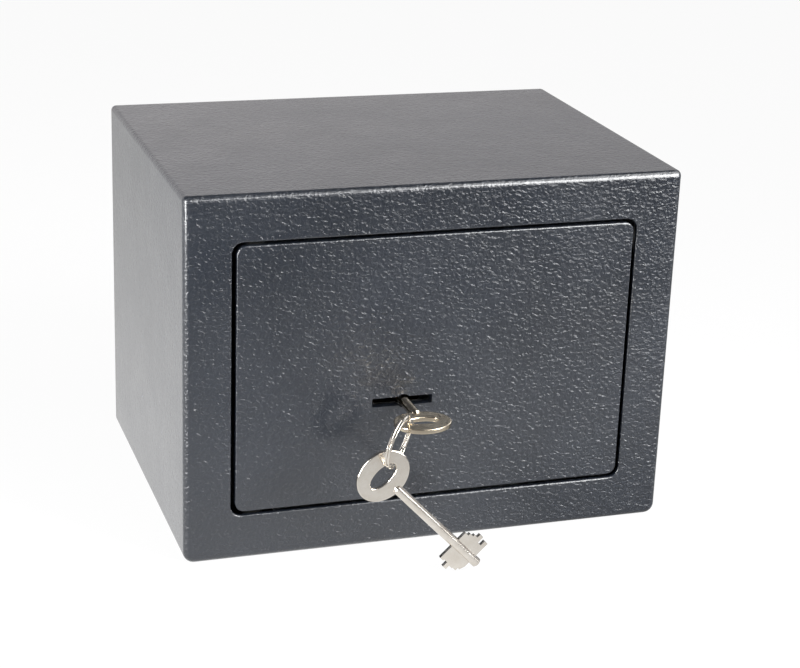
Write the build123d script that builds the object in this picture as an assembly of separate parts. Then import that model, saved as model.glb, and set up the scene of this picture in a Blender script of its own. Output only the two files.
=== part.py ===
from build123d import *
import os
from math import cos, radians, sin

# A small key-operated steel safe, in millimetres.
# X is to the right seen from the front, Y runs from the front to the back, Z is up.
# The origin is the centre of the underside.

# Cabinet
WIDTH = 230.0
DEPTH = 170.0
HEIGHT = 170.0
SHEET = 2.0  # folded cabinet sheet
TOP_R = 2.4  # outer folds along the top's left and right
LOW_R = 5.0  # outer folds along the base's left and right
FRONT_R = 3.0  # rounding around the front face
REAR_R = 2.2  # rounding around the rear
BORDER_LEFT = 21.2  # the cabinet's face beside the door opening
BORDER_RIGHT = 20.8
BORDER_LOW = 21.4
BORDER_HIGH = 21.2
OPEN_R = 5.0  # corners of the door opening
RIM_R = 0.9  # rounding of the opening's front edge
REAR_LIP = 15.0  # return of the folded sheet around the rear
PLATE_EDGE = 4.0  # the back plate stops this far from the cabinet's inner corners
ANCHOR_R = 5.0  # anchor holes in the base and the back
ANCHOR_PITCH = 120.0
MAT_THICK = 2.0
MAT_MARGIN = 1.5
MAT_HOLE_R = 12.0

# Door
DOOR_THICK = 4.0
DOOR_R = 4.3
DOOR_EDGE = 0.8  # rounding of the door's front edge
GAP_LEFT = 2.0  # gaps between the door and the opening
GAP_RIGHT = 1.6
GAP_HIGH = 1.5
GAP_LOW = 1.8
PAN_SHEET = 1.5  # sheet of the box behind the door plate
PAN_R = 3.0
PAN_LIP = 10.0
PAN_MOUTH_R = 2.0
PAN_LEFT = 17.8  # the box starts this far from the opening's left edge
PAN_RIGHT = 6.2
PAN_ABOVE = 5.4
PAN_BELOW = 5.6
PAN_ROOM = 2.0  # between the bolt carriage and the cover
COVER_THICK = 1.2
COVER_CLEAR = 2.0

# Screws
SCREW_R = 2.0
SCREW_HEAD_R = 3.6
SCREW_HEAD = 1.6
SCREW_ROUND = 0.9  # rounding of the head
SCREW_SLOT = 1.0
SCREW_SLOT_DEEP = 0.8
COVER_SCREW_LONG = 5.0
LID_SCREW_LONG = 7.0
SCREW_BOTTOM = 1.0  # a threaded hole runs this far past its screw

# Hinge
PIVOT_IN = 11.1  # pivot axis, from the opening's left edge
PIVOT_DEEP = 7.5  # pivot axis, behind the front face
PIN_R = 3.0
PIN_CLEAR = 0.05
PIN_STANDS = 2.0  # the pin's end, beyond its bracket
PIN_CHAMFER = 0.6
LUG_HALF = 6.0
LUG_BACK = 13.0
LUG_TALL = 17.0
BUSH_R = 5.0
BUSH_CLEAR = 0.1
BRACKET = 3.0
BRACKET_OFF = 2.2  # bracket, beyond the opening's edge
BRACKET_BEYOND = 10.0  # the bracket's end, past the pivot axis
BRACKET_FAR = 17.0
BRACKET_TAB = 11.0
TAB_CLEAR = 1.5  # the bracket's tab stops this far short of the pin

# Keys
BOW_ACROSS = 13.0
BOW_ALONG = 10.7
BOW_HOLE_ACROSS = 7.3
BOW_HOLE_ALONG = 3.55
BOW_THICK = 2.2
BOW_EDGE = 0.45
BIT_THICK = 2.0
SHANK_R = 2.3
SHANK_CHAMFER = 0.5
SHANK_IN_BOW = 1.6
NECK_LONG = 1.0
NECK_R = 1.2
KEY_LENGTH = 66.0  # bow centre to tip
KEY_NOSE = 3.7  # plain tip beyond the bits
BIT_STEP = 2.05
BITS_ONE_SIDE = (6.5, 7.6, 8.6, 10.4, 7.0, 9.6)
BITS_OTHER_SIDE = (9.4, 8.7, 11.4, 9.3, 8.9, 7.4)
BIT_CORNER = 2.6  # the last step's corner is cut off by this much
BOW_OUT = 26.6  # the fitted key's bow centre, in front of the door

# Lock
KEY_X = -14.5
KEY_Z = 70.0
SLOT_WIDE = 28.4
SLOT_SHIFT = -0.7
SLOT_TALL = 4.2
SLOT_R = 0.7
SLOT_HUB_R = 3.2
LOCK_SHEET = 1.5
LOCK_R = 4.0
LOCK_LEFT = 37.5  # lock case, from the key axis
LOCK_RIGHT = 32.5
LOCK_HALF = 23.0
BOSS_R = 3.5
BOSS_IN = 4.5  # screw boss, from the case's inner walls
LID_THICK = 1.5
POST_OUT = 29.0  # lever post, from the key axis
POST_R = 2.5
SLEEVE_R = 4.0
SLEEVE_CLEAR = 0.2
LEVERS = len(BITS_ONE_SIDE)
LEVER_THICK = 1.5
LEVER_SIDE = 0.2  # each lever, from the near side of its bit step
LEVER_WINDOW_R = 13.5
LEVER_RIM = 4.0
LEVER_BOSS_R = 6.0
LEVER_NECK_HALF = 5.0
LEVER_TAIL = 26.0
LEVER_TAIL_HALF = 7.0
LEVER_GATES = (5.0, 6.4, 4.6, 5.8, 6.9, 5.3)  # gate, right of the lever's window
GATE_WIDE = 2.2
GATE_LOW = 1.0  # the gate's ends, above the key axis
GATE_HIGH = 9.0
SPRING_THICK = 0.4
SPRING_WIDE = 1.2
SPRING_FOOT = 2.0  # half the length that lies on the lever
SPRING_RISE = 5.0  # the leaf's upper bend, right of the post
SPRING_LONG = 12.0  # the leaf's end, right of the post
SPRING_DROP = 6.0  # the upper bend, below the leaf's end
SPRING_CLEAR = 1.6  # the leaf's end, below the case's roof
HUB_R = 13.0
TIP_IN_HUB = 2.9  # how far the key's tip stands in the hub
TIP_CLEAR = 0.4
TIP_BEHIND = 1.1  # from the key's tip to the lock's lid
HUB_CLEAR = 0.3
JOURNAL_R = 9.8
JOURNAL_CLEAR = 0.1
JOURNAL_STANDS = 0.4
CRANK_R = 2.0
CRANK_STANDS = 0.8
DOG_R = 1.3
DOG_OUT = 6.0
DOG_LONG = 3.0
DOG_CLEAR = 0.25

# Boltwork
THROW = 15.0
CARRIAGE_THICK = 2.0
CARRIAGE_CLEAR = 1.0  # between the lock's lid and the carriage
CARRIAGE_LEFT = 16.0  # from the key axis
CARRIAGE_BELOW = 24.0
CARRIAGE_ABOVE = 26.0
FLANGE_THICK = 3.0
FLANGE_IN = 32.0  # flange, from the outside of the door's box
FLANGE_BELOW = 24.0
FLANGE_ABOVE = 54.0
BOLT_R = 8.0
BOLT_BELOW = 12.0  # the bolts' axes, from the key axis
BOLT_ABOVE = 42.0
BOLT_DEEP = 13.0
BOLT_REST = 1.0  # withdrawn bolts stand this far out of the box
BOLT_CLEAR = 0.1
BOLT_CHAMFER = 1.0
RIVET_R = 4.0  # the bolt's riveted tail
RIVET_HEAD_R = 5.5
RIVET_HEAD = 1.5
CRANK_SLIP = 0.12  # the crank slot's slack at each side, as a share of the throw
CRANK_ROOM = 0.6
STUD_R = 2.5
STUD_SPOTS = ((4.5, 17.5), (14.5, -17.5))  # from the key axis
STUD_NECK_R = 1.8
STUD_SIDE = 0.2
STUD_OVER = 0.3
STUD_HEAD_R = 4.2
STUD_HEAD = 1.2

# Key ring and spare key
RING_MEAN = 11.8
RING_WIRE = 1.2
RING_STEP = 1.15
RING_SPACE = 0.05  # between the ring's two turns
RING_SOFT = 0.3  # rounding of the flat wire
RING_GAP = 35.0  # half the angle between the wire's two ends, in degrees
RING_RAMP = 30.0  # half the angle over which the wire steps across
RING_SEAM = 70.0  # where on the ring the step is
RING_LAP = 0.5  # the turns run this far into the step, in degrees
RING_FROM_BOW = (-13.46, 8.18, -4.4)  # ring, from the fitted key's bow: right, out, up
RING_TURN = 50.5
RING_LEAN = 11.9
SPARE_FROM_BOW = (-20.48, 9.04, -19.15)
SPARE_SLOPE = 46.1

CUT = 1.0  # a cutter reaches at least this far past the face it opens

FRONT = -DEPTH / 2
INNER_X = WIDTH / 2 - SHEET
INNER_LOW = SHEET
INNER_HIGH = HEIGHT - SHEET
OPEN_X0 = -WIDTH / 2 + BORDER_LEFT
OPEN_X1 = WIDTH / 2 - BORDER_RIGHT
OPEN_Z0 = BORDER_LOW
OPEN_Z1 = HEIGHT - BORDER_HIGH
PAN_X0 = OPEN_X0 + PAN_LEFT
PAN_X1 = OPEN_X1 - PAN_RIGHT
PAN_Z0 = OPEN_Z0 + PAN_BELOW
PAN_Z1 = OPEN_Z1 - PAN_ABOVE
DOOR_X0 = OPEN_X0 + GAP_LEFT
DOOR_X1 = OPEN_X1 - GAP_RIGHT
DOOR_Z0 = OPEN_Z0 + GAP_LOW
DOOR_Z1 = OPEN_Z1 - GAP_HIGH
PIVOT_X = OPEN_X0 + PIVOT_IN
POST_X = KEY_X - POST_OUT

# Depths behind the front face, which follow the key
BITS_START = KEY_LENGTH - KEY_NOSE - LEVERS * BIT_STEP
TIP_DEEP = KEY_LENGTH - BOW_OUT
LEVER_START = BITS_START - BOW_OUT + LEVER_SIDE
HUB_START = TIP_DEEP - TIP_IN_HUB
LOCK_END = TIP_DEEP + TIP_BEHIND
LID_END = LOCK_END + LID_THICK
CARRIAGE_START = LID_END + CARRIAGE_CLEAR
CARRIAGE_END = CARRIAGE_START + CARRIAGE_THICK
PAN_END = CARRIAGE_END + PAN_ROOM

CRANK_OUT = THROW / 2
FLANGE_X = PAN_X1 - FLANGE_IN
BOLT_TIP = PAN_X1 + BOLT_REST
BOLT_Z = (KEY_Z - BOLT_BELOW, KEY_Z + BOLT_ABOVE)


def deep(depth):
    """Y of a depth behind the front face."""
    return FRONT + depth


def block(x0, x1, y0, y1, z0, z1):
    middle = ((x0 + x1) / 2, (y0 + y1) / 2, (z0 + z1) / 2)
    return Pos(*middle) * Box(x1 - x0, y1 - y0, z1 - z0)


def soft_block(x0, x1, y0, y1, z0, z1, radius):
    """A block whose front-to-back edges are rounded."""
    body = block(x0, x1, y0, y1, z0, z1)
    return fillet(body.edges().filter_by(Axis.Y), radius)


def rod_x(x0, x1, y, z, radius):
    return Pos((x0 + x1) / 2, y, z) * Rot(0, 90, 0) * Cylinder(radius, x1 - x0)


def rod_y(x, y0, y1, z, radius):
    return Pos(x, (y0 + y1) / 2, z) * Rot(90, 0, 0) * Cylinder(radius, y1 - y0)


def rod_z(x, y, z0, z1, radius):
    return Pos(x, y, (z0 + z1) / 2) * Cylinder(radius, z1 - z0)


def edges_at(body, y, x0, x1, z0, z1):
    """Edges that lie in the plane at y and inside the given window."""
    found = []
    for edge in body.edges():
        box = edge.bounding_box()
        flat = abs(box.min.Y - y) < 0.001 and abs(box.max.Y - y) < 0.001
        across = box.min.X > x0 and box.max.X < x1
        upright = box.min.Z > z0 and box.max.Z < z1
        if flat and across and upright:
            found.append(edge)
    return found


# Cabinet pieces


def folded_block(x0, x1, y0, y1, z0, z1, top, low):
    """A block whose upper and lower front-to-back edges have their own rounding."""
    body = block(x0, x1, y0, y1, z0, z1)
    body = fillet(body.edges().filter_by(Axis.Y).group_by(Axis.Z)[-1], top)
    return fillet(body.edges().filter_by(Axis.Y).group_by(Axis.Z)[0], low)


def cabinet_blank():
    side = WIDTH / 2
    body = folded_block(-side, side, FRONT, -FRONT, 0, HEIGHT, TOP_R, LOW_R)
    body = fillet(body.edges().group_by(Axis.Y)[0], FRONT_R)
    return fillet(body.edges().group_by(Axis.Y)[-1], REAR_R)


def make_cabinet_wrap():
    body = cabinet_blank()
    body -= folded_block(
        -INNER_X,
        INNER_X,
        FRONT + SHEET,
        -FRONT - SHEET,
        INNER_LOW,
        INNER_HIGH,
        TOP_R - SHEET,
        LOW_R - SHEET,
    )
    reach = 2 * SHEET
    body -= soft_block(
        OPEN_X0, OPEN_X1, FRONT - reach, FRONT + reach, OPEN_Z0, OPEN_Z1, OPEN_R
    )
    side = INNER_X - REAR_LIP
    low = INNER_LOW + REAR_LIP
    high = INNER_HIGH - REAR_LIP
    body -= soft_block(-side, side, -FRONT - reach, -FRONT + reach, low, high, OPEN_R)
    for x in (-ANCHOR_PITCH / 2, ANCHOR_PITCH / 2):
        body -= rod_z(x, 0, -SHEET, 2 * SHEET, ANCHOR_R)
    rim = edges_at(
        body, FRONT, OPEN_X0 - CUT, OPEN_X1 + CUT, OPEN_Z0 - CUT, OPEN_Z1 + CUT
    )
    return fillet(rim, RIM_R)


def make_back_plate():
    side = INNER_X - PLATE_EDGE
    low = INNER_LOW + PLATE_EDGE
    high = INNER_HIGH - PLATE_EDGE
    y1 = -FRONT - SHEET
    body = soft_block(-side, side, y1 - SHEET, y1, low, high, LOW_R)
    for x in (-ANCHOR_PITCH / 2, ANCHOR_PITCH / 2):
        body -= rod_y(x, y1 - 2 * SHEET, y1 + SHEET, HEIGHT / 2, ANCHOR_R)
    return body


def make_floor_mat():
    side = INNER_X - MAT_MARGIN - LOW_R
    y0 = FRONT + SHEET + MAT_MARGIN
    y1 = -FRONT - 2 * SHEET - MAT_MARGIN
    body = block(-side, side, y0, y1, INNER_LOW, INNER_LOW + MAT_THICK)
    for x in (-ANCHOR_PITCH / 2, ANCHOR_PITCH / 2):
        z1 = INNER_LOW + MAT_THICK + CUT
        body -= rod_z(x, 0, INNER_LOW - CUT, z1, MAT_HOLE_R)
    return body


def bracket_span(upper):
    """Low and high Z of a hinge bracket's level leg."""
    if upper:
        return OPEN_Z1 + BRACKET_OFF, OPEN_Z1 + BRACKET_OFF + BRACKET
    return OPEN_Z0 - BRACKET_OFF - BRACKET, OPEN_Z0 - BRACKET_OFF


def make_bracket(upper):
    z0, z1 = bracket_span(upper)
    x1 = PIVOT_X + BRACKET_BEYOND
    y0 = FRONT + SHEET
    leg = block(-INNER_X, x1, y0, deep(BRACKET_FAR), z0, z1)
    leg -= rod_z(PIVOT_X, deep(PIVOT_DEEP), z0 - CUT, z1 + CUT, PIN_R + PIN_CLEAR)
    tab_x1 = PIVOT_X - PIN_R - TAB_CLEAR
    if upper:
        tab = block(-INNER_X, tab_x1, y0, y0 + BRACKET, z1, z1 + BRACKET_TAB)
    else:
        tab = block(-INNER_X, tab_x1, y0, y0 + BRACKET, z0 - BRACKET_TAB, z0)
    return leg + tab


# Door pieces


def keyhole(d0, d1):
    """The slot with its round middle, as a cutter between two depths."""
    middle = KEY_X + SLOT_SHIFT
    half = SLOT_WIDE / 2
    slot = soft_block(
        middle - half,
        middle + half,
        deep(d0),
        deep(d1),
        KEY_Z - SLOT_TALL / 2,
        KEY_Z + SLOT_TALL / 2,
        SLOT_R,
    )
    return slot + rod_y(KEY_X, deep(d0), deep(d1), KEY_Z, SLOT_HUB_R)


def make_door_plate():
    back = deep(DOOR_THICK)
    body = soft_block(DOOR_X0, DOOR_X1, FRONT, back, DOOR_Z0, DOOR_Z1, DOOR_R)
    body = fillet(body.edges().group_by(Axis.Y)[0], DOOR_EDGE)
    return body - keyhole(-CUT, DOOR_THICK + CUT)


def cover_screw_spots():
    half = PAN_LIP / 2
    xs = (PAN_X0 + PAN_SHEET + half, PAN_X1 - PAN_SHEET - half)
    zs = (PAN_Z0 + PAN_SHEET + half, PAN_Z1 - PAN_SHEET - half)
    return [(x, z) for x in xs for z in zs]


def make_door_pan():
    body = soft_block(
        PAN_X0, PAN_X1, deep(DOOR_THICK), deep(PAN_END), PAN_Z0, PAN_Z1, PAN_R
    )
    inner = soft_block(
        PAN_X0 + PAN_SHEET,
        PAN_X1 - PAN_SHEET,
        deep(DOOR_THICK - CUT),
        deep(PAN_END - PAN_SHEET),
        PAN_Z0 + PAN_SHEET,
        PAN_Z1 - PAN_SHEET,
        PAN_R - PAN_SHEET,
    )
    lip = PAN_SHEET + PAN_LIP
    mouth = soft_block(
        PAN_X0 + lip,
        PAN_X1 - lip,
        deep(PAN_END - PAN_SHEET - CUT),
        deep(PAN_END + CUT),
        PAN_Z0 + lip,
        PAN_Z1 - lip,
        PAN_MOUTH_R,
    )
    body = body - inner - mouth
    for z in BOLT_Z:
        hole = BOLT_R + BOLT_CLEAR
        x0 = PAN_X1 - PAN_SHEET - CUT
        body -= rod_x(x0, PAN_X1 + CUT, deep(BOLT_DEEP), z, hole)
    y0 = deep(PAN_END - PAN_SHEET - CUT)
    for x, z in cover_screw_spots():
        body -= rod_y(x, y0, deep(PAN_END + CUT), z, SCREW_R)
    return body


def make_inner_cover():
    body = soft_block(
        PAN_X0 + COVER_CLEAR,
        PAN_X1 - COVER_CLEAR,
        deep(PAN_END),
        deep(PAN_END + COVER_THICK),
        PAN_Z0 + COVER_CLEAR,
        PAN_Z1 - COVER_CLEAR,
        PAN_R,
    )
    y1 = deep(PAN_END + COVER_THICK + CUT)
    for x, z in cover_screw_spots():
        body -= rod_y(x, deep(PAN_END - CUT), y1, z, SCREW_R)
    return body


def screw(x, d_seat, z, d_tip):
    """A round-headed screw whose head sits on the plane at d_seat, facing the back."""
    shank = rod_y(x, deep(d_tip), deep(d_seat), z, SCREW_R)
    head = rod_y(x, deep(d_seat), deep(d_seat + SCREW_HEAD), z, SCREW_HEAD_R)
    head = fillet(head.edges().group_by(Axis.Y)[-1], SCREW_ROUND)
    slot = block(
        x - SCREW_HEAD_R,
        x + SCREW_HEAD_R,
        deep(d_seat + SCREW_HEAD - SCREW_SLOT_DEEP),
        deep(d_seat + SCREW_HEAD + CUT),
        z - SCREW_SLOT / 2,
        z + SCREW_SLOT / 2,
    )
    return shank + (head - slot)


def make_cover_screws():
    seat = PAN_END + COVER_THICK
    tip = seat - COVER_SCREW_LONG
    found = [screw(x, seat, z, tip) for x, z in cover_screw_spots()]
    return Compound(children=found)


def lug_span(upper):
    """Low and high Z of a hinge lug, which ends level with the door plate's edge."""
    if upper:
        return DOOR_Z1 - LUG_TALL, DOOR_Z1
    return DOOR_Z0, DOOR_Z0 + LUG_TALL


def make_lug(upper):
    z0, z1 = lug_span(upper)
    body = block(
        PIVOT_X - LUG_HALF,
        PIVOT_X + LUG_HALF,
        deep(DOOR_THICK),
        deep(LUG_BACK),
        z0,
        z1,
    )
    return body - rod_z(PIVOT_X, deep(PIVOT_DEEP), z0 - CUT, z1 + CUT, PIN_R)


def make_pin(upper):
    z0, z1 = lug_span(upper)
    b0, b1 = bracket_span(upper)
    if upper:
        pin = rod_z(PIVOT_X, deep(PIVOT_DEEP), z0, b1 + PIN_STANDS, PIN_R)
        return chamfer(pin.edges().group_by(Axis.Z)[-1], PIN_CHAMFER)
    pin = rod_z(PIVOT_X, deep(PIVOT_DEEP), b0 - PIN_STANDS, z1, PIN_R)
    return chamfer(pin.edges().group_by(Axis.Z)[0], PIN_CHAMFER)


def make_bush(upper):
    z0, z1 = lug_span(upper)
    b0, b1 = bracket_span(upper)
    if upper:
        low, high = z1, b0 - BUSH_CLEAR
    else:
        low, high = b1 + BUSH_CLEAR / 2, z0
    y = deep(PIVOT_DEEP)
    bore = rod_z(PIVOT_X, y, low - CUT, high + CUT, PIN_R)
    return rod_z(PIVOT_X, y, low, high, BUSH_R) - bore


# Lock pieces


def lock_box(d0, d1, inset):
    return soft_block(
        KEY_X - LOCK_LEFT + inset,
        KEY_X + LOCK_RIGHT - inset,
        deep(d0),
        deep(d1),
        KEY_Z - LOCK_HALF + inset,
        KEY_Z + LOCK_HALF - inset,
        LOCK_R - inset,
    )


def lid_screw_spots():
    inset = LOCK_SHEET + BOSS_IN
    low = KEY_Z - LOCK_HALF + inset
    high = KEY_Z + LOCK_HALF - inset
    left = KEY_X - LOCK_LEFT + inset
    right = KEY_X + LOCK_RIGHT - inset
    return [(left, low), (left, high), (right, low), (right, high)]


def make_lock_case():
    body = lock_box(DOOR_THICK, LOCK_END, 0)
    body -= lock_box(DOOR_THICK + LOCK_SHEET, LOCK_END + CUT, LOCK_SHEET)
    body -= keyhole(DOOR_THICK - CUT, DOOR_THICK + LOCK_SHEET + CUT)
    bottom = LID_END - LID_SCREW_LONG - SCREW_BOTTOM
    for x, z in lid_screw_spots():
        boss = rod_y(x, deep(DOOR_THICK + LOCK_SHEET), deep(LOCK_END), z, BOSS_R)
        body += boss - rod_y(x, deep(bottom), deep(LOCK_END + CUT), z, SCREW_R)
    return body


def stud_spots():
    return [(KEY_X + right, KEY_Z + up) for right, up in STUD_SPOTS]


def make_lock_lid():
    body = lock_box(LOCK_END, LID_END, 0)
    y0, y1 = deep(LOCK_END - CUT), deep(LID_END + CUT)
    body -= rod_y(KEY_X, y0, y1, KEY_Z, JOURNAL_R + JOURNAL_CLEAR)
    for x, z in lid_screw_spots():
        body -= rod_y(x, y0, y1, z, SCREW_R)
    for x, z in stud_spots():
        body -= rod_y(x, y0, y1, z, STUD_NECK_R)
    return body


def make_lock_screws():
    """Countersunk screws that stay flush, because the carriage slides over them."""
    y0, y1 = deep(LID_END - LID_SCREW_LONG), deep(LID_END)
    found = [rod_y(x, y0, y1, z, SCREW_R) for x, z in lid_screw_spots()]
    return Compound(children=found)


def make_guide_studs():
    found = []
    top = CARRIAGE_END + STUD_OVER
    for x, z in stud_spots():
        body = rod_y(x, deep(LOCK_END), deep(LID_END), z, STUD_NECK_R)
        body += rod_y(x, deep(LID_END), deep(top), z, STUD_R)
        body += rod_y(x, deep(top), deep(top + STUD_HEAD), z, STUD_HEAD_R)
        found.append(body)
    return Compound(children=found)


def make_lever_post():
    y0, y1 = deep(DOOR_THICK + LOCK_SHEET), deep(LOCK_END)
    return rod_y(POST_X, y0, y1, KEY_Z, POST_R)


def make_lever_sleeve():
    y0, y1 = deep(DOOR_THICK + LOCK_SHEET), deep(LEVER_START - SLEEVE_CLEAR)
    body = rod_y(POST_X, y0, y1, KEY_Z, SLEEVE_R)
    return body - rod_y(POST_X, y0 - CUT, y1 + CUT, KEY_Z, POST_R)


def make_lever(index):
    d0 = LEVER_START + index * BIT_STEP
    y0, y1 = deep(d0), deep(d0 + LEVER_THICK)
    neck, tail = LEVER_NECK_HALF, LEVER_TAIL_HALF
    body = rod_y(KEY_X, y0, y1, KEY_Z, LEVER_WINDOW_R + LEVER_RIM)
    body += rod_y(POST_X, y0, y1, KEY_Z, LEVER_BOSS_R)
    body += block(POST_X, KEY_X, y0, y1, KEY_Z - neck, KEY_Z + neck)
    body += block(KEY_X, KEY_X + LEVER_TAIL, y0, y1, KEY_Z - tail, KEY_Z + tail)
    y0, y1 = y0 - CUT, y1 + CUT
    body -= rod_y(KEY_X, y0, y1, KEY_Z, LEVER_WINDOW_R)
    body -= rod_y(POST_X, y0, y1, KEY_Z, POST_R + PIN_CLEAR)
    gate = KEY_X + LEVER_WINDOW_R + LEVER_GATES[index % len(LEVER_GATES)]
    return body - block(
        gate, gate + GATE_WIDE, y0, y1, KEY_Z + GATE_LOW, KEY_Z + GATE_HIGH
    )


def make_lever_springs():
    """One bent leaf on each lever, from the boss up towards the lock case's roof."""
    roof = KEY_Z + LOCK_HALF - LOCK_SHEET - SPRING_CLEAR
    foot = KEY_Z + LEVER_BOSS_R + SPRING_THICK
    bend = roof - SPRING_DROP
    points = (
        (POST_X - SPRING_FOOT, foot),
        (POST_X + SPRING_FOOT, foot),
        (POST_X + SPRING_RISE, bend),
        (POST_X + SPRING_LONG, roof),
        (POST_X + SPRING_LONG, roof - SPRING_THICK),
        (POST_X + SPRING_RISE + SPRING_THICK, bend - SPRING_THICK),
        (POST_X + SPRING_FOOT + SPRING_THICK, foot - SPRING_THICK),
        (POST_X - SPRING_FOOT, foot - SPRING_THICK),
    )
    found = []
    for index in range(LEVERS):
        d0 = LEVER_START + index * BIT_STEP + (LEVER_THICK - SPRING_WIDE) / 2
        outline = Plane.XZ * Polygon(*points, align=None)
        leaf = extrude(outline, amount=-SPRING_WIDE)
        found.append(Pos(0, deep(d0), 0) * leaf)
    return Compound(children=found)


def make_drive_hub():
    end = LOCK_END - HUB_CLEAR
    body = rod_y(KEY_X, deep(HUB_START), deep(end), KEY_Z, HUB_R)
    back = LID_END + JOURNAL_STANDS
    body += rod_y(KEY_X, deep(end), deep(back), KEY_Z, JOURNAL_R)
    crank_end = CARRIAGE_END + CRANK_STANDS
    body += rod_y(KEY_X - CRANK_OUT, deep(back), deep(crank_end), KEY_Z, CRANK_R)
    side = BIT_THICK / 2 + DOG_CLEAR + DOG_R
    y0, y1 = deep(HUB_START - DOG_LONG), deep(HUB_START)
    for x in (-DOG_OUT, DOG_OUT):
        for z in (-side, side):
            body += rod_y(KEY_X + x, y0, y1, KEY_Z + z, DOG_R)
    y0, y1 = deep(HUB_START - CUT), deep(TIP_DEEP + TIP_CLEAR)
    return body - rod_y(KEY_X, y0, y1, KEY_Z, SHANK_R + PIN_CLEAR)


# Boltwork pieces


def crank_slot():
    """The upright slot for the crank pin, which swings through the top half turn."""
    x = KEY_X - CRANK_OUT
    side = CRANK_R + CRANK_SLIP * THROW
    z0 = KEY_Z - CRANK_R - CRANK_ROOM
    z1 = KEY_Z + CRANK_OUT + CRANK_R + CRANK_ROOM
    y0, y1 = deep(CARRIAGE_START - CUT), deep(CARRIAGE_END + CUT)
    return block(x - side, x + side, y0, y1, z0, z1)


def make_bolt_carriage():
    y1 = deep(CARRIAGE_END)
    x1 = FLANGE_X + FLANGE_THICK
    z0, z1 = KEY_Z - CARRIAGE_BELOW, KEY_Z + CARRIAGE_ABOVE
    body = block(KEY_X - CARRIAGE_LEFT, x1, deep(CARRIAGE_START), y1, z0, z1)
    z0, z1 = KEY_Z - FLANGE_BELOW, KEY_Z + FLANGE_ABOVE
    body += block(FLANGE_X, x1, deep(BOLT_DEEP - BOLT_R), y1, z0, z1)
    body -= crank_slot()
    wide = STUD_R + STUD_SIDE
    y0, y1 = deep(CARRIAGE_START - CUT), deep(CARRIAGE_END + CUT)
    for x, z in stud_spots():
        body -= block(x - THROW, x, y0, y1, z - wide, z + wide)
        body -= rod_y(x - THROW, y0, y1, z, wide)
        body -= rod_y(x, y0, y1, z, wide)
    for z in BOLT_Z:
        body -= rod_x(FLANGE_X - CUT, x1 + CUT, deep(BOLT_DEEP), z, RIVET_R)
    return body


def make_locking_bolt(z):
    y = deep(BOLT_DEEP)
    start = FLANGE_X + FLANGE_THICK
    body = rod_x(start, BOLT_TIP, y, z, BOLT_R)
    body = chamfer(body.edges().group_by(Axis.X)[-1], BOLT_CHAMFER)
    body += rod_x(FLANGE_X, start, y, z, RIVET_R)
    return body + rod_x(FLANGE_X - RIVET_HEAD, FLANGE_X, y, z, RIVET_HEAD_R)


# Keys and ring


def key_bits():
    """The two stepped bits as one plate, in the key's own plane."""
    points = [(SHANK_R / 2, BITS_START)]
    for index, reach in enumerate(BITS_ONE_SIDE):
        start = BITS_START + index * BIT_STEP
        points.append((reach, start))
        points.append((reach, start + BIT_STEP))
    end = BITS_START + LEVERS * BIT_STEP
    points.append((SHANK_R / 2, end))
    points.append((-SHANK_R / 2, end))
    last = len(BITS_OTHER_SIDE) - 1
    for index in range(last, -1, -1):
        reach = BITS_OTHER_SIDE[index]
        start = BITS_START + index * BIT_STEP
        cut = BIT_CORNER if index == last else 0.0
        points.append((cut - reach, start + BIT_STEP))
        points.append((-reach, start + BIT_STEP / 2))
        points.append((-reach, start))
    points.append((-SHANK_R / 2, BITS_START))
    outline = Polygon(*points, align=None)
    return extrude(outline, amount=BIT_THICK / 2, both=True)


def make_key():
    """A key with its bow's middle at the origin and its shank along +Y."""
    outline = Ellipse(BOW_ACROSS, BOW_ALONG) - Ellipse(
        BOW_HOLE_ACROSS, BOW_HOLE_ALONG
    )
    bow = extrude(outline, amount=BOW_THICK / 2, both=True)
    bow = fillet(bow.edges(), BOW_EDGE)
    start = BOW_ALONG - SHANK_IN_BOW
    shank = rod_y(0, start, KEY_LENGTH, 0, SHANK_R)
    shank = chamfer(shank.edges().group_by(Axis.Y)[-1], SHANK_CHAMFER)
    neck = Pos(0, start - NECK_LONG / 2, 0) * Rot(90, 0, 0) * Cone(SHANK_R, NECK_R, NECK_LONG)
    return bow + shank + neck + key_bits()


def make_key_in_lock():
    return Pos(KEY_X, deep(-BOW_OUT), KEY_Z) * make_key()


def from_bow(place):
    """A point given from the fitted key's bow: right, out from the door, and up."""
    right, out, up = place
    return (KEY_X + right, deep(-BOW_OUT - out), KEY_Z + up)


def ring_plane():
    turn = radians(RING_TURN)
    lean = radians(RING_LEAN)
    level = Vector(cos(turn), sin(turn), 0)
    side = level.cross(Vector(0, 0, 1))
    up = Vector(0, 0, 1) * cos(lean) + side * sin(lean)
    return Plane(origin=from_bow(RING_FROM_BOW), x_dir=level, z_dir=level.cross(up))


def ring_turn(start, stop, level):
    """A flat turn of the ring's wire between two angles, its middle at the given level."""
    section = Plane.XZ * Pos(RING_MEAN, level) * RectangleRounded(
        RING_WIRE, RING_STEP - RING_SPACE, RING_SOFT
    )
    return Rot(0, 0, start) * revolve(section, Axis.Z, stop - start)


def ring_step():
    """The stretch of wire that steps across between the ring's two flat turns."""
    share = 2 * RING_RAMP / 360
    path = Helix(RING_STEP / share, RING_STEP, RING_MEAN, center=(0, 0, -RING_STEP / 2))
    start = Plane(origin=path @ 0, x_dir=(1, 0, 0), z_dir=path % 0)
    section = start * RectangleRounded(RING_WIRE, RING_STEP - RING_SPACE, RING_SOFT)
    return Rot(0, 0, -RING_RAMP) * sweep(section, path=path, is_frenet=True)


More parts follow.
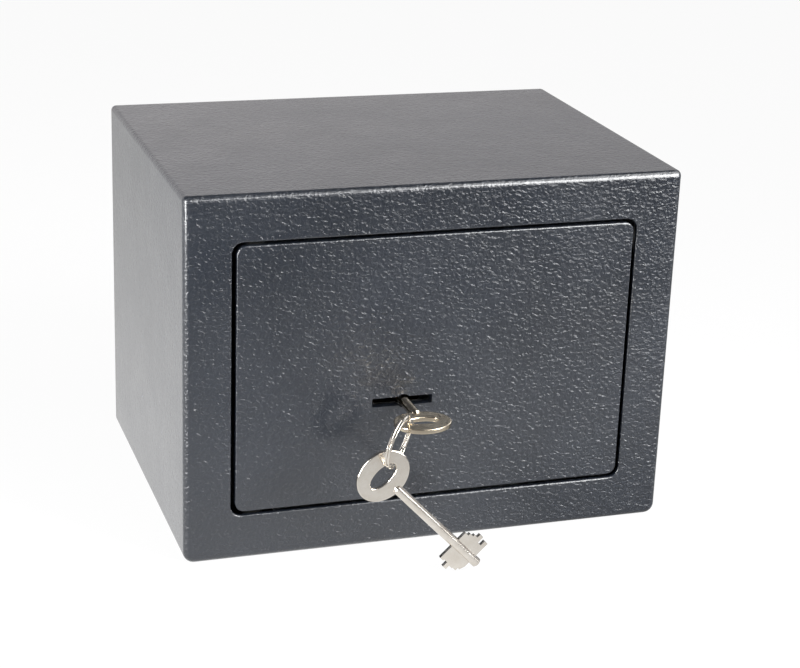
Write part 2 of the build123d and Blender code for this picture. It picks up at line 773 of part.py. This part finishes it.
def make_key_ring():
    """A split ring: a flat wire of nearly two turns that steps across between its ends."""
    reach = RING_RAMP - RING_LAP
    lower = ring_turn(RING_GAP, 360 - reach, -RING_STEP / 2)
    upper = ring_turn(reach, 360 - RING_GAP, RING_STEP / 2)
    ring = lower + ring_step() + upper
    return ring_plane().location * Rot(0, 0, RING_SEAM) * ring


def make_spare_key():
    slope = radians(SPARE_SLOPE)
    along = Vector(cos(slope), 0, -sin(slope))
    across = Vector(sin(slope), 0, cos(slope))
    origin = from_bow(SPARE_FROM_BOW)
    place = Plane(origin=origin, x_dir=across, z_dir=across.cross(along))
    return place.location * make_key()


def make_all():
    nodes = {
        "cabinet_wrap": make_cabinet_wrap(),
        "back_plate": make_back_plate(),
        "floor_mat": make_floor_mat(),
        "hinge_bracket_upper": make_bracket(True),
        "hinge_bracket_lower": make_bracket(False),
        "door_plate": make_door_plate(),
        "door_pan": make_door_pan(),
        "inner_cover": make_inner_cover(),
        "cover_screws": make_cover_screws(),
        "hinge_lug_upper": make_lug(True),
        "hinge_lug_lower": make_lug(False),
        "hinge_pin_upper": make_pin(True),
        "hinge_pin_lower": make_pin(False),
        "hinge_bush_upper": make_bush(True),
        "hinge_bush_lower": make_bush(False),
        "lock_case": make_lock_case(),
        "lock_lid": make_lock_lid(),
        "lock_screws": make_lock_screws(),
        "guide_studs": make_guide_studs(),
        "lever_post": make_lever_post(),
        "lever_sleeve": make_lever_sleeve(),
        "lever_springs": make_lever_springs(),
        "drive_hub": make_drive_hub(),
        "bolt_carriage": make_bolt_carriage(),
        "locking_bolt_lower": make_locking_bolt(BOLT_Z[0]),
        "locking_bolt_upper": make_locking_bolt(BOLT_Z[1]),
        "key_in_lock": make_key_in_lock(),
        "key_ring": make_key_ring(),
        "spare_key": make_spare_key(),
    }
    for index in range(LEVERS):
        nodes[f"lever_{index + 1}"] = make_lever(index)
    return nodes


os.makedirs("parts", exist_ok=True)
for name, shape in make_all().items():
    export_step(shape, f"parts/{name}.step")
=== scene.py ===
import random
from math import cos, pi, radians, sin

import bmesh
import bpy
from mathutils import Matrix, Vector


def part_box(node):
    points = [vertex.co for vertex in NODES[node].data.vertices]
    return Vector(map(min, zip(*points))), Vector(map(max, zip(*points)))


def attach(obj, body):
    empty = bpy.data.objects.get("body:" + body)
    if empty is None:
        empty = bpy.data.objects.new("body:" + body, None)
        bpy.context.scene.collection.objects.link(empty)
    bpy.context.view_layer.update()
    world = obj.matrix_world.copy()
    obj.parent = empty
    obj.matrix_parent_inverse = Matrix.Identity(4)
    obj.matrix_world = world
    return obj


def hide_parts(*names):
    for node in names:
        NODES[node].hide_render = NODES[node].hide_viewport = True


# A small key safe in dark hammertone paint, with a key in its lock and a spare on a ring.
# Lengths are in metres, colours are linear red, green and blue.

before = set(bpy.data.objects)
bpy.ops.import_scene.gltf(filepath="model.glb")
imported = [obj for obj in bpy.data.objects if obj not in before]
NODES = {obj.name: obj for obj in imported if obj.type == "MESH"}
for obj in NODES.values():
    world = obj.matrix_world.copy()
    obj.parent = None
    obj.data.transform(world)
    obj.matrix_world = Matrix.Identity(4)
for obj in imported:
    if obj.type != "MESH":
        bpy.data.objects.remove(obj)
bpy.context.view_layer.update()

MM = 0.001

# Camera, fitted to the photograph: angles in degrees, lens and sensor in millimetres
CAMERA_AT = (-0.281, -0.8627, 0.3985)
CAMERA_AZIMUTH = -18.7222
CAMERA_ELEVATION = 19.8477
CAMERA_ROLL = 2.1078
CAMERA_LENS = 88.598
SENSOR_WIDTH = 36.0
CLIP_START = 0.01

# Places that several pieces share, read from the frame
WRAP_LOW, WRAP_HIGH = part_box("cabinet_wrap")
MAT_LOW, MAT_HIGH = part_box("floor_mat")
PIN_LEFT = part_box("hinge_pin_upper")[0][0]

random.seed(7)


# Node helpers


class Graph:
    """Short names for building the nodes of a material or of the world."""

    def __init__(self, owner, coords="Object"):
        owner.use_nodes = True
        self.tree = owner.node_tree
        self.tree.nodes.clear()
        self.coords = self.add("ShaderNodeTexCoord").outputs[coords]

    def add(self, kind, **settings):
        node = self.tree.nodes.new(kind)
        for name, value in settings.items():
            setattr(node, name, value)
        return node

    def link(self, source, target):
        self.tree.links.new(source, target)

    def feed(self, value, target):
        """Put a number or a colour on a socket, or link another socket to it."""
        if isinstance(value, float):
            target.default_value = value
        elif isinstance(value, tuple):
            target.default_value = (*value, 1.0)
        else:
            self.link(value, target)

    def axes(self):
        node = self.add("ShaderNodeSeparateXYZ")
        self.link(self.coords, node.inputs["Vector"])
        return node.outputs

    def stretch(self, scale):
        node = self.add("ShaderNodeMapping")
        node.inputs["Scale"].default_value = scale
        self.link(self.coords, node.inputs["Vector"])
        return node.outputs["Vector"]

    def noise(self, scale, detail, rough, distortion=0.0, vector=None):
        node = self.add("ShaderNodeTexNoise")
        node.inputs["Scale"].default_value = scale
        node.inputs["Detail"].default_value = detail
        node.inputs["Roughness"].default_value = rough
        node.inputs["Distortion"].default_value = distortion
        self.link(vector or self.coords, node.inputs["Vector"])
        return node.outputs["Fac"]

    def cells(self, scale, smooth, vector):
        node = self.add("ShaderNodeTexVoronoi", feature="SMOOTH_F1")
        node.inputs["Scale"].default_value = scale
        node.inputs["Smoothness"].default_value = smooth
        self.link(vector, node.inputs["Vector"])
        return node.outputs["Distance"]

    def greys(self, value, stops):
        node = self.add("ShaderNodeValToRGB")
        ramp = node.color_ramp
        while len(ramp.elements) < len(stops):
            ramp.elements.new(0.5)
        for element, (place, level) in zip(ramp.elements, stops):
            element.position = place
            element.color = (level, level, level, 1)
        self.link(value, node.inputs["Fac"])
        return node.outputs["Color"]

    def levels(self, value, low, high, out_low, out_high):
        """Value, from low to high, as out_low to out_high, and no further either way."""
        node = self.add("ShaderNodeMapRange")
        node.inputs["From Min"].default_value = low
        node.inputs["From Max"].default_value = high
        node.inputs["To Min"].default_value = out_low
        node.inputs["To Max"].default_value = out_high
        self.link(value, node.inputs["Value"])
        return node.outputs["Result"]

    def math(self, kind, a, b):
        node = self.add("ShaderNodeMath", operation=kind)
        for socket, value in zip(node.inputs, (a, b)):
            self.feed(value, socket)
        return node.outputs["Value"]

    def mix(self, factor, a, b):
        """Colour a, turning into colour b where the factor rises."""
        node = self.add("ShaderNodeMix", data_type="RGBA")
        self.link(factor, node.inputs["Factor"])
        self.feed(a, node.inputs[6])
        self.feed(b, node.inputs[7])
        return node.outputs[2]

    def bump(self, height, distance):
        node = self.add("ShaderNodeBump")
        node.inputs["Distance"].default_value = distance
        node.inputs["Strength"].default_value = 1.0
        self.link(height, node.inputs["Height"])
        return node.outputs["Normal"]

    def glow(self, kind, color, strength):
        """An emission or background shader."""
        node = self.add(kind)
        self.feed(color, node.inputs["Color"])
        self.feed(strength, node.inputs["Strength"])
        return node.outputs[0]

    def blend(self, factor, a, b):
        """Shader a, turning into shader b where the factor rises."""
        node = self.add("ShaderNodeMixShader")
        self.feed(factor, node.inputs["Fac"])
        self.link(a, node.inputs[1])
        self.link(b, node.inputs[2])
        return node.outputs["Shader"]

    def show(self, shader, kind="ShaderNodeOutputMaterial"):
        self.link(shader, self.add(kind).inputs["Surface"])

    def surface(self, color, roughness, normal, **constants):
        node = self.add("ShaderNodeBsdfPrincipled")
        self.feed(color, node.inputs["Base Color"])
        self.feed(roughness, node.inputs["Roughness"])
        self.feed(normal, node.inputs["Normal"])
        for name, value in constants.items():
            node.inputs[name.replace("_", " ")].default_value = value
        self.show(node.outputs["BSDF"])


def shade(color, factor):
    return tuple(factor * c for c in color)


# Materials

FLECK_SHADE = 3.0
STEEL_MARKS = 0.00002
KEY_MARKS = 0.00001
FELT_RELIEF = 0.0004


def paint_material(name, tint, relief):
    """Dark hammertone powder coat: a glossy skin over soft worm-like wrinkles."""
    material = bpy.data.materials.new(name)
    g = Graph(material)
    worms = g.stretch((0.85, 1.0, 1.1))
    wrinkle = g.noise(scale=600.0, detail=1.0, rough=0.4, distortion=0.6, vector=worms)
    pebble = g.cells(scale=520.0, smooth=0.9, vector=worms)
    swell = g.noise(scale=170.0, detail=1.0, rough=0.5)
    height = g.math("ADD", wrinkle, g.math("MULTIPLY", pebble, 0.3))
    height = g.math("ADD", height, g.math("MULTIPLY", swell, 0.5))
    cloud = g.noise(scale=16.0, detail=4.0, rough=0.55)
    clouded = g.levels(cloud, 0.3, 0.7, 0.0, 1.0)
    color = g.mix(clouded, shade(tint, 0.8), shade(tint, 1.2))
    fleck = g.noise(scale=2800.0, detail=1.0, rough=0.5)
    flecked = g.levels(fleck, 0.66, 0.8, 0.0, 0.6)
    color = g.mix(flecked, color, shade(tint, FLECK_SHADE))
    smear = g.noise(scale=30.0, detail=3.0, rough=0.6)
    roughness = g.levels(smear, 0.35, 0.7, 0.34, 0.44)
    coat = {"Coat_Weight": 1.0, "Coat_Roughness": 0.15, "Coat_IOR": 1.5}
    g.surface(color, roughness, g.bump(height, relief), **coat)
    return material


def steel_material(name, color, roughness, along):
    """Plated or bare steel with fine drawn marks along one direction."""
    material = bpy.data.materials.new(name)
    g = Graph(material)
    lines = g.noise(scale=900.0, detail=3.0, rough=0.6, vector=g.stretch(along))
    blotch = g.noise(scale=60.0, detail=4.0, rough=0.6)
    tone = g.levels(blotch, 0.3, 0.7, 0.0, 1.0)
    tinted = g.mix(tone, shade(color, 0.82), color)
    rough = g.levels(lines, 0.3, 0.7, roughness - 0.06, roughness + 0.1)
    g.surface(tinted, rough, g.bump(lines, STEEL_MARKS), Metallic=1.0)
    return material


def key_material(name, dull, bright):
    """Satin nickel plate with a warm cast, faint haze and fine tumbling marks."""
    material = bpy.data.materials.new(name)
    g = Graph(material)
    fine = g.noise(scale=3000.0, detail=2.0, rough=0.6)
    haze = g.noise(scale=150.0, detail=4.0, rough=0.6)
    color = g.mix(g.levels(haze, 0.35, 0.68, 0.0, 1.0), dull, bright)
    rough = g.levels(haze, 0.3, 0.7, 0.12, 0.2)
    g.surface(color, rough, g.bump(fine, KEY_MARKS), Metallic=1.0)
    return material


def felt_material(name, color):
    """Needled felt: hairs over clumps of uneven tone."""
    material = bpy.data.materials.new(name)
    g = Graph(material)
    hairs = g.noise(scale=2400.0, detail=4.0, rough=0.7, distortion=1.5)
    clump = g.noise(scale=300.0, detail=4.0, rough=0.65, distortion=0.6)
    tone = g.levels(clump, 0.3, 0.7, 0.0, 1.0)
    tinted = g.mix(tone, shade(color, 0.7), shade(color, 1.35))
    height = g.math("ADD", hairs, clump)
    g.surface(tinted, 0.95, g.bump(height, FELT_RELIEF), Sheen_Weight=0.35)
    return material


PAINT = paint_material("hammertone_paint", (0.006, 0.0082, 0.0128), relief=0.00062)
PAINT_IN = paint_material("hammertone_paint_inside", (0.012, 0.0145, 0.019), relief=0.0006)
ZINC = steel_material("zinc_steel", (0.62, 0.62, 0.6), 0.34, (1.0, 1.0, 8.0))
PLATED = steel_material("plated_bolt_steel", (0.72, 0.72, 0.72), 0.2, (12.0, 1.0, 1.0))
SPRING = steel_material("spring_steel", (0.3, 0.32, 0.36), 0.3, (6.0, 1.0, 1.0))
# Dark brass for the levers and the drive hub
BRASS = steel_material("dark_brass", (0.16, 0.11, 0.05), 0.42, (1.0, 9.0, 1.0))
# Near-black, dull steel for the hinges' nodes: painted shade, so the gaps by the hinges read
# dark
HINGE_STEEL_PAINTED_SHADE = steel_material("greased_zinc", (0.02, 0.02, 0.019), 0.6, (1.0, 1.0, 8.0))
NICKEL = key_material("nickel_plate", (0.7, 0.65, 0.58), (0.78, 0.74, 0.68))
# A darker, warmer copy of the nickel for the key in the lock: painted reflection of the dark
# door in its bow
NICKEL_PAINTED_REFLECTION = key_material("nickel_plate_painted_reflection", (0.5, 0.43, 0.33), (0.6, 0.53, 0.42))
FELT = felt_material("grey_felt", (0.06, 0.06, 0.064))

# Every other node is zinc steel, and the hinges' nodes are near-black, as painted shade in the
# gaps by the hinges
LOOKS = {
    PAINT: ("cabinet_wrap", "door_plate"),
    PAINT_IN: ("door_pan", "inner_cover", "back_plate"),
    PLATED: ("locking_bolt_upper", "locking_bolt_lower"),
    SPRING: ("lever_springs",),
    NICKEL: ("key_ring", "spare_key"),
    NICKEL_PAINTED_REFLECTION: ("key_in_lock",),
    FELT: ("floor_mat",),
    BRASS: ("drive_hub", *(f"lever_{step}" for step in range(1, 7))),
}


def dress_frame():
    chosen = {name: look for look, names in LOOKS.items() for name in names}
    for name, node_object in NODES.items():
        look = HINGE_STEEL_PAINTED_SHADE if name.startswith("hinge_") else chosen.get(name, ZINC)
        node_object.data.materials.clear()
        node_object.data.materials.append(look)


dress_frame()


# Mesh helpers


def finish_mesh(bm, name, outward=True):
    if outward:
        bmesh.ops.recalc_face_normals(bm, faces=bm.faces)
    mesh = bpy.data.meshes.new(name)
    bm.to_mesh(mesh)
    bm.free()
    return mesh


def add_piece(name, mesh, body, material, smooth=True):
    piece = bpy.data.objects.new(name, mesh)
    bpy.context.scene.collection.objects.link(piece)
    mesh.materials.clear()
    mesh.materials.append(material)
    for face in mesh.polygons:
        face.use_smooth = smooth
    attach(piece, body)
    return piece


def join_rings(bm, rings):
    """Walls between rings of as many vertices each, open at both ends."""
    for low, high in zip(rings, rings[1:]):
        for k in range(len(low)):
            after = (k + 1) % len(low)
            bm.faces.new((low[k], low[after], high[after], high[k]))


# The felt mat

MAT_HOLE = 12.0 * MM  # radius of the holes over the base anchors
MAT_PITCH = 60.0 * MM  # of each hole from the middle
MAT_STEP = 2.2 * MM
MAT_PULL = 1.6 * MAT_STEP  # vertices this near a hole's edge are drawn onto it
MAT_TOP = 0.9  # mean level of the top, as a share of the thickness
MAT_WAVE = 0.08  # and how far it waves either way
MAT_WAVES = (190, 230)  # along X and Y, in radians per metre


def cut_mat_hole(bm, x):
    centre = Vector((x, 0, 0))
    inside = [
        v for v in bm.verts if (Vector((v.co.x, v.co.y, 0)) - centre).length < MAT_HOLE
    ]
    bmesh.ops.delete(bm, geom=inside, context="VERTS")
    for v in bm.verts:
        away = Vector((v.co.x - x, v.co.y, 0))
        if v.is_boundary and away.length < MAT_HOLE + MAT_PULL:
            away.normalize()
            v.co.x, v.co.y = x + away.x * MAT_HOLE, away.y * MAT_HOLE


def make_mat():
    """The mat as cut felt: a slightly uneven sheet with the two anchor holes."""
    size = Vector([high - low for low, high in zip(MAT_LOW, MAT_HIGH)])
    middle = (Vector(MAT_LOW) + Vector(MAT_HIGH)) / 2
    thick = MAT_HIGH[2] - MAT_LOW[2]
    across = round((MAT_HIGH[0] - MAT_LOW[0]) / MAT_STEP)
    deep = round((MAT_HIGH[1] - MAT_LOW[1]) / MAT_STEP)
    bm = bmesh.new()
    bmesh.ops.create_grid(bm, x_segments=across, y_segments=deep, size=0.5)
    for v in bm.verts:
        v.co = Vector((v.co.x * size.x + middle.x, v.co.y * size.y + middle.y, MAT_LOW[2]))
    for x in (-MAT_PITCH, MAT_PITCH):
        cut_mat_hole(bm, x)
    top = bmesh.ops.extrude_face_region(bm, geom=bm.faces[:])
    for v in (g for g in top["geom"] if isinstance(g, bmesh.types.BMVert)):
        wave = MAT_WAVE * sin(v.co.x * MAT_WAVES[0]) * sin(v.co.y * MAT_WAVES[1] + 1)
        v.co.z += thick * (MAT_TOP + wave)
    mat = add_piece("felt_mat", finish_mesh(bm, "felt_mat"), "cabinet", FELT, smooth=False)
    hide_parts("floor_mat")


make_mat()


# Welds, painted over with the cabinet

BEAD_STEP = 0.4 * MM
BEAD_SIDES = 10
BEAD_STEPS = 4  # at least
BEAD_END = 0.45  # share of the radius at a bead's two ends
BEAD_RIPPLE = 0.1  # share of the radius, and how fast it comes and goes
BEAD_RIPPLE_TURN = 2.4
BEAD_STRAY = 0.05
BRACKET_BEAD = 1.0 * MM  # radius of the beads along a hinge bracket
LUG_BEAD = 0.9 * MM
BRACKET_SHEET = 3.0 * MM
BRACKET_SUNK = 0.3 * MM  # a bracket bead's middle, inside the face that it runs along
LUG_SUNK = 0.2 * MM
EDGE_SHORT = 1.5 * MM  # beads keep this far from the ends of most edges
LEG_SHORT = 1.0 * MM  # and this far from the end of a bracket's leg
PIN_CLEAR = 1.8 * MM  # from the end of a tab's bead to the hinge pin

MARKS_ACROSS = 6  # along the top and along the base
MARKS_UP = 4  # spaces between them up each side
MARK_IN = 8.0 * MM  # in from the cabinet's edges
MARK_STRAY = 0.6  # millimetres either way
MARK_SIDES = 20
# Radius and height of a spot weld's rings in millimetres, from its middle to its foot
MARK_RINGS = ((0.6, 0.02), (1.5, 0.03), (1.9, 0.1), (2.2, 0.17), (2.6, 0.1), (3.0, -0.05))


def bead_rings(bm, start, end, radius):
    """A rippled bead from start to end: rings of vertices joined into a closed tube."""
    line = Vector(end) - Vector(start)
    side = line.orthogonal().normalized()
    other = line.normalized().cross(side)
    steps = max(BEAD_STEPS, round(line.length / BEAD_STEP))
    rings = []
    for i in range(steps + 1):
        t = i / steps
        taper = min(1.0, 4 * min(t, 1 - t) + BEAD_END)
        ripple = 1 + BEAD_RIPPLE * sin(BEAD_RIPPLE_TURN * i) + BEAD_STRAY * random.random()
        reach = radius * taper * ripple
        centre = Vector(start) + line * t
        ring = []
        for k in range(BEAD_SIDES):
            angle = 2 * pi * k / BEAD_SIDES
            ring.append(bm.verts.new(centre + reach * (cos(angle) * side + sin(angle) * other)))
        rings.append(ring)
    join_rings(bm, rings)
    bm.faces.new(reversed(rings[0]))
    bm.faces.new(rings[-1])


def make_beads(name, body, lines, radius):
    bm = bmesh.new()
    for start, end in lines:
        bead_rings(bm, start, end, radius)
    add_piece(name, finish_mesh(bm, name), body, PAINT_IN)


def bracket_beads(node, upward):
    """Lines along the bracket's leg at the side wall and along its tab at the front."""
    low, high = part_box(node)
    level = low[2] + BRACKET_SHEET if upward else high[2] - BRACKET_SHEET
    tip = high[2] if upward else low[2]
    wall = low[0] + BRACKET_SUNK
    front = low[1] + BRACKET_SUNK
    leg_start = low[1] + BRACKET_SHEET + EDGE_SHORT
    tab_end = PIN_LEFT - PIN_CLEAR
    return (
        ((wall, leg_start, level), (wall, high[1] - LEG_SHORT, level)),
        ((wall + EDGE_SHORT, front, tip), (tab_end, front, tip)),
    )


def lug_beads(node):
    """A line up the left edge of the lug, where it meets the door plate."""
    low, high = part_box(node)
    back = low[1] + LUG_SUNK
    return (((low[0], back, low[2] + EDGE_SHORT), (low[0], back, high[2] - EDGE_SHORT)),)


def mark_spots():
    """Places of the spot welds around the rear return."""
    x0, x1 = WRAP_LOW[0] + MARK_IN, WRAP_HIGH[0] - MARK_IN
    z0, z1 = WRAP_LOW[2] + MARK_IN, WRAP_HIGH[2] - MARK_IN
    spots = []
    for i in range(MARKS_ACROSS):
        x = x0 + (x1 - x0) * i / (MARKS_ACROSS - 1)
        spots += [(x, z0), (x, z1)]
    for i in range(1, MARKS_UP):
        z = z0 + (z1 - z0) * i / MARKS_UP
        spots += [(x0, z), (x1, z)]
    return spots


def make_spot_welds():
    """Low ringed marks left by the spot welder on the rear return."""
    bm = bmesh.new()
    rear = WRAP_HIGH[1]
    for x, z in mark_spots():
        x += random.uniform(-MARK_STRAY, MARK_STRAY) * MM
        z += random.uniform(-MARK_STRAY, MARK_STRAY) * MM
        rings = []
        for reach, rise in MARK_RINGS:
            ring = []
            for k in range(MARK_SIDES):
                angle = 2 * pi * k / MARK_SIDES
                across, up = reach * MM * cos(angle), reach * MM * sin(angle)
                ring.append(bm.verts.new((x + across, rear + rise * MM, z + up)))
            rings.append(ring)
        join_rings(bm, rings)
        bm.faces.new(rings[0])
        bm.faces.new(rings[-1])
    mesh = finish_mesh(bm, "rear_spot_welds")
    add_piece("rear_spot_welds", mesh, "cabinet", PAINT)


def make_welds():
    brackets = bracket_beads("hinge_bracket_upper", True)
    brackets += bracket_beads("hinge_bracket_lower", False)
    make_beads("bracket_welds", "cabinet", brackets, BRACKET_BEAD)
    lugs = lug_beads("hinge_lug_upper") + lug_beads("hinge_lug_lower")
    make_beads("lug_welds", "door", lugs, LUG_BEAD)
    make_spot_welds()


make_welds()


# The studio

WHITE = (1.0, 1.0, 1.0)

# What the safe mirrors of the floor: where its glow starts and ends to change along Y or X,
# and from what share to what share
FLOOR_FRONT = (-0.5, -0.12, 0.0, 0.92)
FLOOR_BEHIND = (0.08, 0.55, 1.0, 0.72)
FLOOR_ASIDE = (0.06, 0.32, 1.0, 0.6)
# A painted shadow in the glow that the safe mirrors, in front of its lower right corner
FLOOR_PAINTED_SHADOW_X = (0.0, 0.07, 0.0, 1.0)
FLOOR_PAINTED_SHADOW_Y = (-0.18, -0.12, 0.0, 0.6)
FLOOR_SEEN = 0.94  # share of plain white in the floor that the camera sees
FLOOR_MIRRORED = 0.92  # share of the glow in the floor that the safe mirrors
FLOOR_RADIUS = 3.0
FLOOR_SIDES = 96
FLOOR_BELOW = 0.0002

# What the safe sees of the world: bright up to 30 degrees, dark above, a little light overhead
WORLD_RISE = ((0.0, 0.84), (0.5, 0.78), (0.6, 0.05), (0.85, 0.05), (1.0, 0.3))
WORLD_BACK = (-0.6, 0.4, 0.55, 0.9)  # brighter behind the safe, along Y
WORLD_SIDE = (0.15, 0.5, 1.0, 0.7)  # dimmer at its right, along X
WORLD_TINT = (1.0, 0.975, 0.99)

SAFE_MIDDLE = (0, 0, 0.08)
RIGHT_CORNER = (0.14, -0.085, 0.14)
# Name, place, aim, size, watts and spread in degrees
LIGHTS = (
    ("key_right", (0.5, -0.52, 0.38), RIGHT_CORNER, (0.5, 0.6), 2.2, 56.0),
    ("strip_left", (-0.5, -0.3, 0.22), SAFE_MIDDLE, (0.14, 0.44), 6.0, 180.0),
    ("top_right", (0.62, -0.38, 0.82), SAFE_MIDDLE, (0.8, 0.8), 8.0, 180.0),
    ("top_front", (0.25, -0.82, 0.8), SAFE_MIDDLE, (0.4, 0.2), 2.0, 180.0),
)


def make_camera():
    azimuth = radians(CAMERA_AZIMUTH)
    elevation = radians(CAMERA_ELEVATION)
    roll = radians(CAMERA_ROLL)
    forward = Vector(
        (
            -sin(azimuth) * cos(elevation),
            cos(azimuth) * cos(elevation),
            -sin(elevation),
        )
    )
    level = Vector((cos(azimuth), sin(azimuth), 0))
    up = level.cross(forward)
    right = cos(roll) * level + sin(roll) * up
    above = -sin(roll) * level + cos(roll) * up
    data = bpy.data.cameras.new("camera")
    data.lens = CAMERA_LENS
    data.sensor_width = SENSOR_WIDTH
    data.clip_start = CLIP_START
    camera = bpy.data.objects.new("camera", data)
    bpy.context.scene.collection.objects.link(camera)
    turn = Matrix((right, above, -forward)).transposed()
    camera.matrix_world = Matrix.Translation(CAMERA_AT) @ turn.to_4x4()
    bpy.context.scene.camera = camera


def make_light(name, place, aim, size, power, spread):
    data = bpy.data.lights.new(name, "AREA")
    data.shape = "RECTANGLE"
    data.size, data.size_y = size
    data.energy = power
    data.spread = radians(spread)
    light = bpy.data.objects.new(name, data)
    light.location = place
    toward = Vector(aim) - Vector(place)
    light.rotation_euler = toward.to_track_quat("-Z", "Y").to_euler()
    bpy.context.scene.collection.objects.link(light)


def make_world():
    """White for the camera, and the studio's walls and ceiling for the safe."""
    world = bpy.data.worlds.new("studio")
    bpy.context.scene.world = world
    g = Graph(world, "Generated")
    axes = g.axes()
    rise = g.greys(axes["Z"], WORLD_RISE)
    back = g.levels(axes["Y"], *WORLD_BACK)
    side = g.levels(axes["X"], *WORLD_SIDE)
    strength = g.math("MULTIPLY", rise, g.math("MULTIPLY", side, back))
    lit = g.glow("ShaderNodeBackground", WORLD_TINT, strength)
    seen = g.glow("ShaderNodeBackground", WHITE, 1.0)
    ray = g.add("ShaderNodeLightPath").outputs
    g.show(g.blend(ray["Is Camera Ray"], lit, seen), "ShaderNodeOutputWorld")


def floor_material():
    """A matt sweep that the camera and mirrors see as white, with soft shadows left in."""
    material = bpy.data.materials.new("studio_floor")
    g = Graph(material)
    grain = g.noise(scale=40.0, detail=3.0, rough=0.5)
    matt_node = g.add("ShaderNodeBsdfDiffuse")
    g.feed(g.mix(grain, (0.78, 0.78, 0.785), (0.82, 0.82, 0.82)), matt_node.inputs["Color"])
    matt = matt_node.outputs["BSDF"]
    axes = g.axes()
    front = g.levels(axes["Y"], *FLOOR_FRONT)
    near = g.math("MULTIPLY", front, g.levels(axes["Y"], *FLOOR_BEHIND))
    aside = g.levels(axes["X"], *FLOOR_ASIDE)
    # Painted shadow: the glow that mirrors see is dimmed in front of the safe's lower right
    # corner
    painted_shadow_x = g.levels(axes["X"], *FLOOR_PAINTED_SHADOW_X)
    painted_shadow_y = g.levels(axes["Y"], *FLOOR_PAINTED_SHADOW_Y)
    outside_painted_shadow = g.math("SUBTRACT", 1.0, g.math("MULTIPLY", painted_shadow_x, painted_shadow_y))
    level = g.math("MULTIPLY", g.math("MULTIPLY", near, aside), outside_painted_shadow)
    white = g.glow("ShaderNodeEmission", WHITE, 1.0)
    dim = g.glow("ShaderNodeEmission", WHITE, level)
    seen = g.blend(FLOOR_SEEN, matt, white)
    mirrored = g.blend(FLOOR_MIRRORED, matt, dim)
    ray = g.add("ShaderNodeLightPath").outputs
    in_mirror = g.math("MAXIMUM", ray["Is Glossy Ray"], ray["Is Transmission Ray"])
    unseen = g.blend(in_mirror, matt, mirrored)
    g.show(g.blend(ray["Is Camera Ray"], unseen, seen))
    return material


def make_floor():
    bm = bmesh.new()
    bmesh.ops.create_circle(bm, cap_ends=True, segments=FLOOR_SIDES, radius=FLOOR_RADIUS)
    mesh = finish_mesh(bm, "studio_floor", outward=False)
    floor = bpy.data.objects.new("studio_floor", mesh)
    floor.location.z = -FLOOR_BELOW
    mesh.materials.append(floor_material())
    bpy.context.scene.collection.objects.link(floor)


def make_studio():
    make_camera()
    make_world()
    make_floor()
    for light in LIGHTS:
        make_light(*light)


make_studio()
bpy.context.scene.view_settings.view_transform = "Standard"
